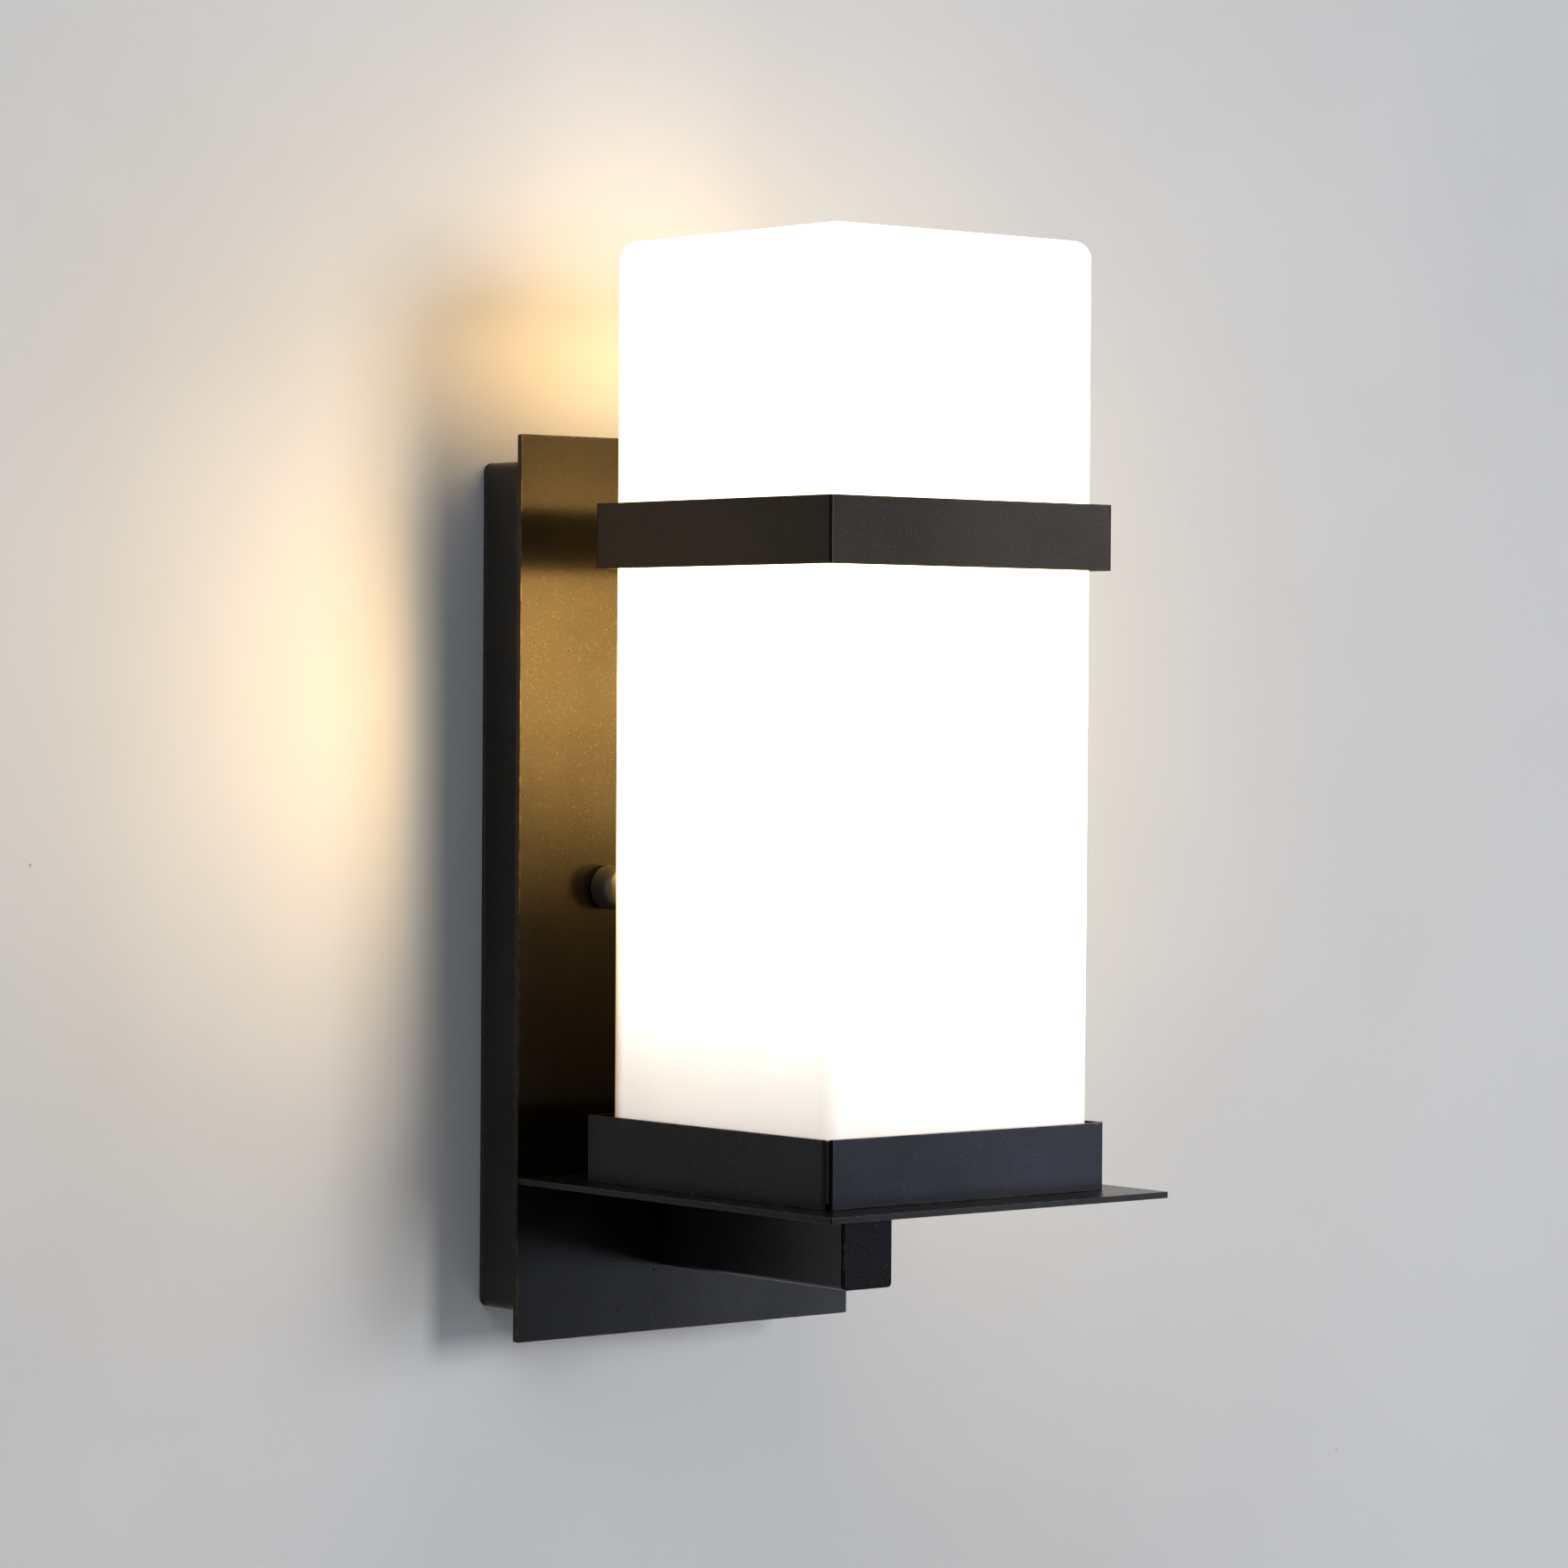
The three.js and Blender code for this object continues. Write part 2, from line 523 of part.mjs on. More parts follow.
// A soft strip stuck round the inside of the band, its face just clear of the glass.
function bandLiner() {
  const half = 5;
  const [bottom, top] = [spacerMiddle - half, spacerMiddle + half];
  const [outer, inner] = [bandInner - GAP, SHADE.width + 0.6];
  const strip = sheetZ(roundedRectangle(outer, outer, 0.3), bottom, top, SHADE.centre, 0, 1);
  const inside = roundedRectangle(inner, inner, SHADE.corner - 1);
  const hollow = sheetZ(inside, bottom - 1, top + 1, SHADE.centre);
  const screwRoom = sides.map(([, side]) =>
    rod("y", SCREW_M3.head + 0.3, glassBack - 1, bandBack, [side * spacerScrewOffset, spacerMiddle], 20),
  );
  return cut(strip, hollow, ...screwRoom);
}

piece("shade_band", bronze, band());
piece("band_spacer", bronze, bandSpacer());
piece("band_liner", silicone, bandLiner());
for (const [label, side] of sides) {
  piece(`spacer_screw_${label}`, steel, panScrew([side * spacerScrewOffset, spacerMiddle]));
  piece(`band_screw_${label}`, steel, bandScrew(side * spacerScrewOffset));
}

// ---- Glass shade --------------------------------------------------------------------------------------
function glassShade() {
  const { width, wall, corner, top, centre } = SHADE;
  const outer = roundedBlock(width, corner, shadeBottom, top, centre);
  return cut(outer, roundedBlock(width - 2 * wall, corner - wall, shadeBottom - 5, top - wall, centre));
}

piece("glass_shade", opalGlass, glassShade());

// ---- Lampholder on its nipple -------------------------------------------------------------------------
const lampAxis = [0, SHADE.centre];
const nutFlats = 14;

function ringNut(bottom, top) {
  const bore = rod("z", NIPPLE.radius + 0.15, bottom - 1, top + 1, lampAxis);
  return cut(hexagon("z", nutFlats, bottom, top, lampAxis), bore);
}

function nipple() {
  const { radius, bore, bottom, top } = NIPPLE;
  return cut(rod("z", radius, bottom, top, lampAxis), rod("z", bore, bottom - 1, top + 1, lampAxis));
}

const holder = {
  capBottom: -88, floor: -87, base: -75, rim: -70, top: -37, well: -66, radius: 19.5, cavity: 14.6,
};

function lockWasher() {
  const [bottom, top] = [SHELF.top + GAP / 2, SHELF.top + 1.1];
  const bore = rod("z", NIPPLE.radius + 0.2, bottom - 1, top + 1, lampAxis);
  return cut(rod("z", 8.5, bottom, top, lampAxis), bore);
}

// A steel cup on the nipple: the wiring chamber under the porcelain.
function holderCap() {
  const bore = NIPPLE.radius + 0.15;
  const { capBottom, floor, rim } = holder;
  const outline = [
    [bore, capBottom], [14, capBottom], [17, capBottom + 2], [18, capBottom + 5], [18, rim],
    [17, rim], [17, floor + 4.6], [16.2, floor + 2], [13.6, floor], [bore, floor],
  ];
  return turned([...outline, outline[0]], lampAxis);
}

const leadHoles = [-8.5, 8.5]; // where the two leads enter the porcelain, left and right of the axis

function porcelainBody() {
  const { base, rim, top, radius, cavity, well } = holder;
  const skirt = 16.6;
  const outline = [
    [0, base], [skirt, base], [skirt, rim + 0.4], [radius, rim + 1.2], [radius, top - 1.2],
    [radius - 1.2, top], [cavity + 0.6, top], [cavity, top - 0.6], [cavity, well], [0, well],
  ];
  const holes = leadHoles.map((x) => rod("z", WIRE.radius + 0.4, base - 1, well + 1, [x, SHADE.centre]));
  return cut(turned(outline, lampAxis), ...holes);
}

// A thin shell whose rings swell by the thread's depth at every other step, on the side asked for.
function ringedShell(innerRadius, outerRadius, depth, bottom, top, pitch) {
  const steps = Math.round((top - bottom) / (pitch / 2));
  const level = (i) => bottom + ((top - bottom) * i) / steps;
  const rings = (radius, swell) =>
    Array.from({ length: steps + 1 }, (_, i) => [radius + (i % 2) * swell, level(i)]);
  const plain = (radius) => [[radius, bottom], [radius, top]];
  const outside = depth.outside ? rings(outerRadius, depth.outside) : plain(outerRadius);
  const inside = depth.inside ? rings(innerRadius, depth.inside) : plain(innerRadius);
  const outline = [...outside, ...inside.reverse()];
  return turned([...outline, outline[0]], lampAxis, 20);
}

const screwThread = { pitch: 3.63, depth: 0.6 };

function contactSpring() {
  const [low, high] = [holder.well + 0.2, holder.well + 0.8];
  const foot = box([-9, SHADE.centre - 3, low], [5, SHADE.centre + 3, high]);
  const rise = box([4.4, SHADE.centre - 3, low], [5, SHADE.centre + 3, high + 2.2]);
  const tongue = box([-4, SHADE.centre - 3, high + 1.6], [5, SHADE.centre + 3, high + 2.2]);
  return join(foot, rise, tongue);
}

piece("nipple", steel, nipple());
piece("nipple_lower_nut", steel, ringNut(armTop - ARM.wall - 4.2, armTop - ARM.wall - GAP));
piece("nipple_lock_washer", steel, lockWasher());
piece("nipple_upper_nut", steel, ringNut(SHELF.top + 1.3, holder.capBottom - GAP));
piece("lampholder_cap", steel, holderCap());
piece("lampholder_body", porcelain, porcelainBody());
const holderThread = { inside: screwThread.depth };
const holderShell = ringedShell(13.2, 14.3, holderThread, -64.8, -38.5, screwThread.pitch);
piece("lampholder_screw_shell", brass, holderShell);
piece("lampholder_contact", brass, contactSpring());

// ---- Bulb ---------------------------------------------------------------------------------------------
const bulb = {
  tip: -62.8, capBottom: -57, capTop: -35, boardZ: 4, seam: 6, top: 46, radius: 30, wall: 1.2,
};

function bulbContact() {
  const { tip } = bulb;
  const [narrow, wide, back] = [3, 4.4, tip + 1.5];
  return turned([[0, tip], [narrow, tip], [wide, tip + 1], [wide, back], [0, back]], lampAxis);
}

function bulbInsulator() {
  const [foot, shoulder, back] = [bulb.tip + 1.6, bulb.capBottom - 0.4, bulb.capBottom + 1];
  const [narrow, wide] = [5, 11.4];
  return turned([[0, foot], [narrow, foot], [wide, shoulder], [wide, back], [0, back]], lampAxis, 28);
}

const neckRadius = 11.3;

function bulbHousing() {
  const { capTop, seam, radius, wall } = bulb;
  const outside = [
    [neckRadius, capTop - 6], [neckRadius, capTop + 0.2], [13.4, capTop + 0.2], [13.8, capTop + 4],
    [19, capTop + 18], [26.5, capTop + 32], [radius - 0.6, seam - 0.2],
  ];
  const inside = [
    [radius - 0.6 - wall, seam - 0.2], [26.5 - wall, capTop + 32.5], [19 - wall, capTop + 18.6],
    [12.4, capTop + 4.6], [10.1, capTop], [10.1, capTop - 6],
  ];
  return turned([...outside, ...inside, outside[0]], lampAxis);
}

function bulbDiffuser() {
  const { seam, top, radius, wall } = bulb;
  const middle = top - radius;
  const domeSteps = 6;
  const arc = (r) =>
    Array.from({ length: domeSteps + 1 }, (_, i) => {
      const turn = ((Math.PI / 2) * i) / domeSteps;
      return [i === domeSteps ? 0 : r * Math.cos(turn), middle + r * Math.sin(turn)];
    });
  const foot = [[radius - 0.6 - wall, seam], [radius - 0.6, seam]];
  const outline = [...foot, ...arc(radius), ...arc(radius - wall).reverse()];
  return turned([...outline, outline[0]], lampAxis);
}

function ledBoard() {
  const { boardZ } = bulb;
  const disc = rod("z", 26.4, boardZ - 1.6, boardZ, lampAxis, 32);
  const ringRadius = 15;
  const chips = Array.from({ length: 8 }, (_, i) => {
    const turn = (Math.PI * 2 * i) / 8;
    const [x, y] = [ringRadius * Math.cos(turn), SHADE.centre + ringRadius * Math.sin(turn)];
    return box([x - 1.5, y - 1.5, boardZ - 0.3], [x + 1.5, y + 1.5, boardZ + 0.7]);
  });
  return join(disc, ...chips);
}

piece("bulb_contact", brass, bulbContact());
piece("bulb_insulator", rubber, bulbInsulator());
const capThread = { outside: screwThread.depth };
const bulbShell = ringedShell(11.7, 12.2, capThread, bulb.capBottom + 1.1, bulb.capTop, screwThread.pitch);
piece("bulb_screw_cap", steel, bulbShell);
piece("bulb_housing", whitePlastic, bulbHousing());
piece("bulb_led_board", whitePlastic, ledBoard());
piece("bulb_diffuser", frosted, bulbDiffuser());

// ---- Wiring: two leads from the lampholder, an earth lead from the pan, and their connectors ----------
const leads = [
  ["black", -1, blackSheath],
  ["white", 1, whiteSheath],
];
const connectorZ = -34;

// From the porcelain, down the nipple, along the arm, through the grommet and up inside the pan.
function leadRoute(side) {
  const near = side * 1.35;
  const y = SHADE.centre;
  const start = side * leadHoles[1];
  return [
    [start, y, -68], [start, y, -71], [start, y, -74.6], [side * 7.6, y, -77.6], [side * 4.6, y, -80.2],
    [side * 2.1, y, -82.6], [near, y, -86], [near, y, -94], [near, y, -101], [near, y + 0.6, -105],
    [near, y + 4, -108.8], [near, y + 10, armMiddle], [near, -90, armMiddle], [near, -66, armMiddle],
    [near, -48, armMiddle], [near, -40, armMiddle], [near, -33, armMiddle], [near, -27, armMiddle],
    [side * 2.8, -19.5, armMiddle + 3], [side * 7, -15, armMiddle + 14], [side * 13, -14, -82],
    [side * 17, -14, -64], [side * 18, -14, connectorZ - 16], [side * 18, -14, connectorZ - 6],
  ];
}

// A twist-on connector: a tapered cap closed at the top, open below.
function wireConnector(place) {
  const [bottom, top] = [connectorZ - 10, connectorZ + 12];
  const outline = [
    [2.6, bottom], [6, bottom], [6, bottom + 5], [3.4, top - 1], [2.4, top], [0, top],
    [0, top - 3], [2.6, top - 8],
  ];
  return turned([...outline, outline[0]], place, 20);
}

function earthScrew() {
  const seat = panInside + wireUnderHead;
  const head = rod("y", SCREW_M3.head + 1, seat, seat + SCREW_M3.headHeight, panGroundAt, 20);
  return join(head, rod("y", SCREW_M3.radius, panFront + GAP, seat + 1, panGroundAt, 16));
}

// From beside the earth screw's shank, behind the connectors, to beside the ground screw's shank.
function earthRoute() {
  const [panX, panZ] = panGroundAt;
  const besidePan = panX + SCREW_M3.radius + WIRE.radius + GAP;
  const panY = panInside + WIRE.radius + 1.5 * GAP;
  const besideBar = groundScrewAt[0] + SCREW_M4.radius + WIRE.radius + GAP;
  const barY = -CROSSBAR.thickness - WIRE.radius - GAP / 2;
  const barZ = groundScrewAt[1];
  return [
    [besidePan, panY, panZ - 4], [besidePan, panY, panZ], [besidePan, panY, panZ + 4],
    [besidePan - 1, panY + 4, panZ + 9], [panX - 4, -15, panZ + 12], [panX - 14, -6.5, panZ + 12.5],
    [panX - 26, -4.5, panZ + 13], [besideBar + 5, -4, barZ - 14], [besideBar, barY - 0.2, barZ - 7],
    [besideBar, barY, barZ - 3], [besideBar, barY, barZ + 3],
  ];
}

for (const [label, side, material] of leads) {
  piece(`lead_${label}`, material, wire(leadRoute(side), WIRE.radius, 44));
  piece(`wire_connector_${label}`, orangePlastic, wireConnector([side * 18, -14]));
}
piece("earth_screw", greenSteel, earthScrew());
piece("earth_lead", greenSheath, wire(earthRoute(), WIRE.radius, 30));

export default lantern;
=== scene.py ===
"""Looks, light and camera for the outdoor wall lantern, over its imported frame. Metres."""

import json
import math

import bmesh
import bpy
from mathutils import Matrix, Vector


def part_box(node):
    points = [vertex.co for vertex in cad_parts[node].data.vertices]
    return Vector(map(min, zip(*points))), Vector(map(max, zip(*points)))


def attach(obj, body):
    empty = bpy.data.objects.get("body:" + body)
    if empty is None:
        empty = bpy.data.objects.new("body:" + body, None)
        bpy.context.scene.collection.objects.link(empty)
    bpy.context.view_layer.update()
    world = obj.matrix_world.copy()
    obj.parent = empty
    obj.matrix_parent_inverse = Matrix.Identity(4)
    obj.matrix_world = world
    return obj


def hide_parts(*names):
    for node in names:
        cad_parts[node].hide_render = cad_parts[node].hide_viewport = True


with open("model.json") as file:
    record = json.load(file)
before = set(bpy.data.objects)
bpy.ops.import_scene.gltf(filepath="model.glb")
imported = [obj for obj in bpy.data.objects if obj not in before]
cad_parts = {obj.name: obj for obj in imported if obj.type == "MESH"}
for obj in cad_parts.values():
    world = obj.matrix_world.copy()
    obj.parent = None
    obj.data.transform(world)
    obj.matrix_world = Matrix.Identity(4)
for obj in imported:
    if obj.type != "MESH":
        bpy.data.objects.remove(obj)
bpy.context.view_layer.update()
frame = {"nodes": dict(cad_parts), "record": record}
nodes = frame["nodes"]
bodies = frame["record"]["behaviour"]["bodies"]
node_body = {node: body for body, members in bodies.items() for node in members}
node_slot = {part["node"]: part["material_slot"] for part in frame["record"]["subparts"]}

MM = 0.001
glass_low, glass_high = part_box("glass_shade")
glass_middle = (glass_low + glass_high) / 2
lamp_axis = Vector((glass_middle.x, glass_middle.y, 0))


# ---- Camera ---------------------------------------------------------------------------------------------
CAMERA_PLACE = Vector((-1.0651, -1.3691, 0.0627))
CAMERA_YAW = math.radians(-39.64)
CAMERA_PITCH = math.radians(-0.97)
CAMERA_ROLL = math.radians(0.37)


def add_camera():
    """The camera: yaw turns it about +Z from looking along +Y, then pitch, then roll about its own axis."""
    camera = bpy.data.cameras.new("camera")
    camera.sensor_width = 36
    camera.lens = 118.2
    camera.clip_start = 0.05
    holder = bpy.data.objects.new("camera", camera)
    turn = Matrix.Rotation(CAMERA_YAW, 4, "Z") @ Matrix.Rotation(math.pi / 2 + CAMERA_PITCH, 4, "X")
    holder.matrix_world = Matrix.Translation(CAMERA_PLACE) @ turn @ Matrix.Rotation(CAMERA_ROLL, 4, "Z")
    bpy.context.scene.collection.objects.link(holder)
    bpy.context.scene.camera = holder


# ---- Materials ------------------------------------------------------------------------------------------
class Finish:
    """A material's node tree, with short ways to add nodes to it."""

    def __init__(self, name):
        self.material = bpy.data.materials.new(name)
        self.material.use_nodes = True
        self.tree = self.material.node_tree
        self.shader = self.tree.nodes["Principled BSDF"]
        self.output = self.tree.nodes["Material Output"]
        self.place = self.add("ShaderNodeTexCoord").outputs["Object"]

    def add(self, kind, **settings):
        """A new node of a kind, with its settings."""
        node = self.tree.nodes.new(kind)
        for key, value in settings.items():
            setattr(node, key, value)
        return node

    def feed(self, socket, value):
        """Links a socket to another one, or sets its number."""
        if isinstance(value, bpy.types.NodeSocket):
            self.tree.links.new(value, socket)
        else:
            socket.default_value = value

    def math(self, operation, first, second=0.0, clamp=False):
        """One sum of two numbers or sockets."""
        node = self.add("ShaderNodeMath", operation=operation, use_clamp=clamp)
        self.feed(node.inputs[0], first)
        self.feed(node.inputs[1], second)
        return node.outputs[0]

    def ramp(self, value, low, high, start=0.0, end=1.0, smooth=True):
        """The value's run from low to high, turned into one from start to end."""
        node = self.add("ShaderNodeMapRange", interpolation_type="SMOOTHSTEP" if smooth else "LINEAR")
        numbers = {"Value": value, "From Min": low, "From Max": high, "To Min": start, "To Max": end}
        for name, number in numbers.items():
            self.feed(node.inputs[name], number)
        return node.outputs["Result"]

    def noise(self, scale, detail=3.0, roughness=0.55, stretch=(1, 1, 1)):
        """Noise with `scale` features a metre, stretched along the axes."""
        spread = self.add("ShaderNodeMapping")
        self.feed(spread.inputs["Vector"], self.place)
        spread.inputs["Scale"].default_value = stretch
        node = self.add("ShaderNodeTexNoise")
        self.feed(node.inputs["Vector"], spread.outputs["Vector"])
        node.inputs["Scale"].default_value = scale
        node.inputs["Detail"].default_value = detail
        node.inputs["Roughness"].default_value = roughness
        return node.outputs["Fac"]

    def cells(self, scale, output="Distance"):
        """Scattered cells, `scale` a metre: the distance to each one's middle, or its own colour."""
        node = self.add("ShaderNodeTexVoronoi", feature="F1")
        self.feed(node.inputs["Vector"], self.place)
        node.inputs["Scale"].default_value = scale
        return node.outputs[output]

    def blend(self, share, first, second):
        """Two colours mixed by a share of the second."""
        node = self.add("ShaderNodeMix", data_type="RGBA")
        self.feed(node.inputs["Factor"], share)
        for socket, colour in zip([s for s in node.inputs if s.type == "RGBA"], (first, second)):
            self.feed(socket, colour if isinstance(colour, bpy.types.NodeSocket) else (*colour, 1))
        return next(s for s in node.outputs if s.type == "RGBA")

    def bump(self, *layers):
        """Bumps on top of each other, each given as a height, its depth in metres and its strength."""
        normal = None
        for height, depth, strength in layers:
            node = self.add("ShaderNodeBump")
            node.inputs["Strength"].default_value = strength
            node.inputs["Distance"].default_value = depth
            self.feed(node.inputs["Height"], height)
            if normal:
                self.feed(node.inputs["Normal"], normal)
            normal = node.outputs["Normal"]
        self.feed(self.shader.inputs["Normal"], normal)

    def axes(self):
        """The X, Y and Z of the place on the surface."""
        split = self.add("ShaderNodeSeparateXYZ")
        self.feed(split.inputs[0], self.place)
        return split.outputs

    def set(self, **values):
        """Sets or links sockets of the shader, named with _ for a space."""
        for name, value in values.items():
            self.feed(self.shader.inputs[name.replace("_", " ")], value)

    def edge_mask(self, low, high, width):
        """1 on the edges of the box from low to high, fading to 0 at `width` from them."""
        near = []
        for place, lowest, highest in zip(self.axes(), low, high):
            middle = (lowest + highest) / 2
            half = (highest - lowest) / 2
            away = self.math("ABSOLUTE", self.math("SUBTRACT", place, middle))
            near.append(self.math("SUBTRACT", away, half))
        pairs = [self.math("MINIMUM", near[a], near[b]) for a, b in ((0, 1), (1, 2), (0, 2))]
        second = self.math("MAXIMUM", self.math("MAXIMUM", pairs[0], pairs[1]), pairs[2])
        return self.ramp(second, -width, 0.0)


def bronze(name, low, high, deep, roughness=0.3, metallic=0.6, wear=0.35, grain="x"):
    """Dark bronze paint over steel: fine texture, faint brushing, specks and a little wear on the edges."""
    worn = (0.15, 0.105, 0.062)
    dark_speck = (0.006, 0.005, 0.004)
    look = Finish(name)
    broad = look.noise(14, 3)
    mottle = look.noise(160, 4)
    stretch = {"x": (1, 30, 30), "y": (30, 1, 30), "z": (30, 30, 1)}[grain]
    brushed = look.noise(90, 2, 0.6, stretch)
    fleck = look.cells(2600, output="Color")
    fleck_strength = look.add("ShaderNodeSeparateColor")
    look.feed(fleck_strength.inputs[0], fleck)
    shade = tuple(0.7 * c for c in deep)
    light = tuple(1.25 * c for c in deep)
    colour = look.blend(look.ramp(broad, 0.3, 0.7), shade, light)
    colour = look.blend(look.ramp(mottle, 0.45, 0.75, 0, 0.2), colour, light)
    colour = look.blend(look.ramp(fleck_strength.outputs[0], 0.9, 1.0, 0, 0.12), colour, worn)
    edges = look.edge_mask(low, high, 0.7 * MM)
    rub = look.math("MULTIPLY", edges, look.ramp(look.noise(240, 3), 0.42, 0.66))
    colour = look.blend(look.math("MULTIPLY", rub, wear), colour, worn)
    speck = look.ramp(look.cells(95), 0.04, 0.02)
    colour = look.blend(look.math("MULTIPLY", speck, 0.8), colour, dark_speck)
    look.set(Base_Color=colour, Metallic=metallic)
    smear = look.ramp(look.noise(26, 3, 0.6), 0.3, 0.75, roughness - 0.02, roughness + 0.03)
    dull = look.math("ADD", smear, look.ramp(brushed, 0.3, 0.7, -0.012, 0.012))
    look.set(Roughness=look.math("ADD", dull, look.math("MULTIPLY", speck, 0.3), clamp=True))
    look.shader.inputs["IOR"].default_value = 1.45
    look.bump(
        (look.noise(9, 2), 0.5 * MM, 0.25),
        (brushed, 0.02 * MM, 0.08),
        (look.noise(900, 3), 0.035 * MM, 0.3),
        (speck, 0.12 * MM, 0.5),
    )
    return look.material


# How strongly the shade's painted glow shines, as pairs of a height above the origin in metres and a level;
# the glow stands in for the lamp's light coming through the glass.
GLOW = (
    (-0.090, 0.48), (-0.060, 0.6), (-0.030, 1.35), (0.0, 3.3), (0.020, 4.3), (0.043, 4.9),
    (0.075, 5.2), (0.100, 4.5), (0.125, 3.1), (0.150, 2.25), (0.180, 2.0), (0.208, 2.0),
)
GLOW_PEAK = max(level for height, level in GLOW)


def opal(name):
    """Opal glass with a painted glow standing in for the lamp inside, brightest level with the lamp. Its rear
    face glows more and warmer.
    """
    look = Finish(name)
    y, z = look.axes()[1:]
    veil = look.noise(18, 3, 0.5, (1, 1, 0.5))
    curve = look.add("ShaderNodeFloatCurve")
    run = glass_high.z - glass_low.z
    look.feed(curve.inputs["Value"], look.ramp(z, glass_low.z, glass_high.z, smooth=False))
    points = curve.mapping.curves[0].points
    while len(points) < len(GLOW):
        points.new(0.5, 0.5)
    for point, (height, strength) in zip(points, GLOW):
        point.location = (min(max((height - glass_low.z) / run, 0.0), 1.0), strength / GLOW_PEAK)
    curve.mapping.update()
    level = look.math("MULTIPLY", curve.outputs[0], GLOW_PEAK)
    # The painted glow of the rear face, which lights the plate, is dimmer at its foot, several
    # times brighter above it, and less so again towards its head.
    rear = look.ramp(y, glass_high.y - 9 * MM, glass_high.y - 2 * MM)
    foot = look.ramp(z, -0.02, 0.062, -0.62, 2.78)
    head = look.math("ADD", look.ramp(z, 0.1, 0.15, 0, 1.58), look.ramp(z, 0.15, 0.175, 0, 0.85))
    change = look.math("MULTIPLY", rear, look.math("SUBTRACT", foot, head))
    level = look.math("MULTIPLY", level, look.math("ADD", 1.0, change))
    level = look.math("MULTIPLY", level, look.ramp(veil, 0.3, 0.7, 0.96, 1.04))
    # The glow's colour is painted too: warm on the sides at mid height, paler at foot and head, amber on the
    # rear face.
    sides = look.blend(look.ramp(z, -0.05, 0.03), (1.0, 0.9, 0.78), (1.0, 0.8, 0.46))
    sides = look.blend(look.ramp(z, 0.11, 0.2), sides, (1.0, 0.9, 0.74))
    behind = look.blend(look.ramp(z, 0.14, 0.19), (1.0, 0.56, 0.15), (1.0, 0.74, 0.38))
    look.set(Base_Color=look.blend(look.ramp(veil, 0.3, 0.7), (0.82, 0.79, 0.74), (0.88, 0.86, 0.83)))
    look.set(Roughness=look.ramp(look.noise(35, 3), 0.3, 0.7, 0.1, 0.2))
    look.set(Emission_Color=look.blend(rear, sides, behind), Emission_Strength=level)
    look.shader.inputs["Coat Weight"].default_value = 0.3
    look.shader.inputs["Coat Roughness"].default_value = 0.05
    look.bump((look.noise(60, 2), 0.12 * MM, 0.25), (look.noise(420, 2), 0.01 * MM, 0.2))
    return look.material


def simple(name, dark, light, roughness, metallic, scale, depth, extra=None):
    """Two close tones mottled into each other, with fine bumps `depth` mm deep and uneven gloss."""
    look = Finish(name)
    mottle = look.noise(scale, 4)
    fine = look.noise(scale * 6, 3)
    look.set(Base_Color=look.blend(look.ramp(mottle, 0.3, 0.7), dark, light), Metallic=metallic)
    look.set(Roughness=look.ramp(look.noise(scale / 3, 3), 0.25, 0.75, roughness - 0.07, roughness + 0.1))
    look.bump((mottle, depth * MM, 0.4), (fine, depth * MM / 4, 0.4))
    for socket, number in (extra or {}).items():
        look.shader.inputs[socket].default_value = number
    return look.material


def glowing(name, colour, strength, base):
    """A frosted lamp cover, brightest towards its crown."""
    look = Finish(name)
    veil = look.noise(90, 3)
    height = look.ramp(look.axes()[2], 0.0, 0.05, 0.7, 1.0)
    look.set(Base_Color=look.blend(veil, base, tuple(min(1.0, 1.06 * c) for c in base)), Roughness=0.45)
    look.set(Emission_Color=(*colour, 1), Emission_Strength=look.math("MULTIPLY", height, strength))
    look.bump((look.noise(1500, 2), 0.02 * MM, 0.4))
    return look.material


def one_sided(look):
    """Makes a stage surface clear from behind, so that the object can be seen from every side."""
    through = look.add("ShaderNodeBsdfTransparent")
    choose = look.add("ShaderNodeMixShader")
    look.feed(choose.inputs[0], look.add("ShaderNodeNewGeometry").outputs["Backfacing"])
    look.feed(choose.inputs[1], look.shader.outputs[0])
    look.feed(choose.inputs[2], through.outputs[0])
    look.feed(look.output.inputs["Surface"], choose.outputs[0])
    return look.material


def plaster(name, tone):
    """Pale painted plaster with soft unevenness and a few specks."""
    look = Finish(name)
    broad = look.noise(3.2, 4)
    dark = tuple(0.94 * c for c in tone)
    colour = look.blend(look.ramp(broad, 0.3, 0.7), dark, tone)
    speck = look.ramp(look.cells(26), 0.02, 0.008)
    colour = look.blend(look.math("MULTIPLY", speck, 0.6), colour, (0.2, 0.2, 0.2))
    look.set(Base_Color=colour, Roughness=0.85)
    look.shader.inputs["Specular IOR Level"].default_value = 0.25
    look.bump(
        (broad, 4 * MM, 0.12),
        (look.noise(60, 4, 0.6), 0.6 * MM, 0.16),
        (look.noise(700, 3), 0.1 * MM, 0.15),
    )
    return one_sided(look)


# ---- Shapes ---------------------------------------------------------------------------------------------
pieces = {}


def add_piece(name, mesh, material, node, smooth_angle=32):
    """A new piece that stands for a CAD node and rides on its body."""
    mesh.validate()
    mesh.materials.clear()
    mesh.materials.append(material)
    mesh.shade_smooth()
    mesh.set_sharp_from_angle(angle=math.radians(smooth_angle))
    piece = bpy.data.objects.new(name, mesh)
    bpy.context.scene.collection.objects.link(piece)
    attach(piece, node_body[node])
    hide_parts(node)
    pieces[name] = piece
    return piece


def mesh_from(bm, name):
    """The finished mesh, its faces turned outwards."""
    bmesh.ops.recalc_face_normals(bm, faces=bm.faces)
    mesh = bpy.data.meshes.new(name)
    bm.to_mesh(mesh)
    bm.free()
    return mesh


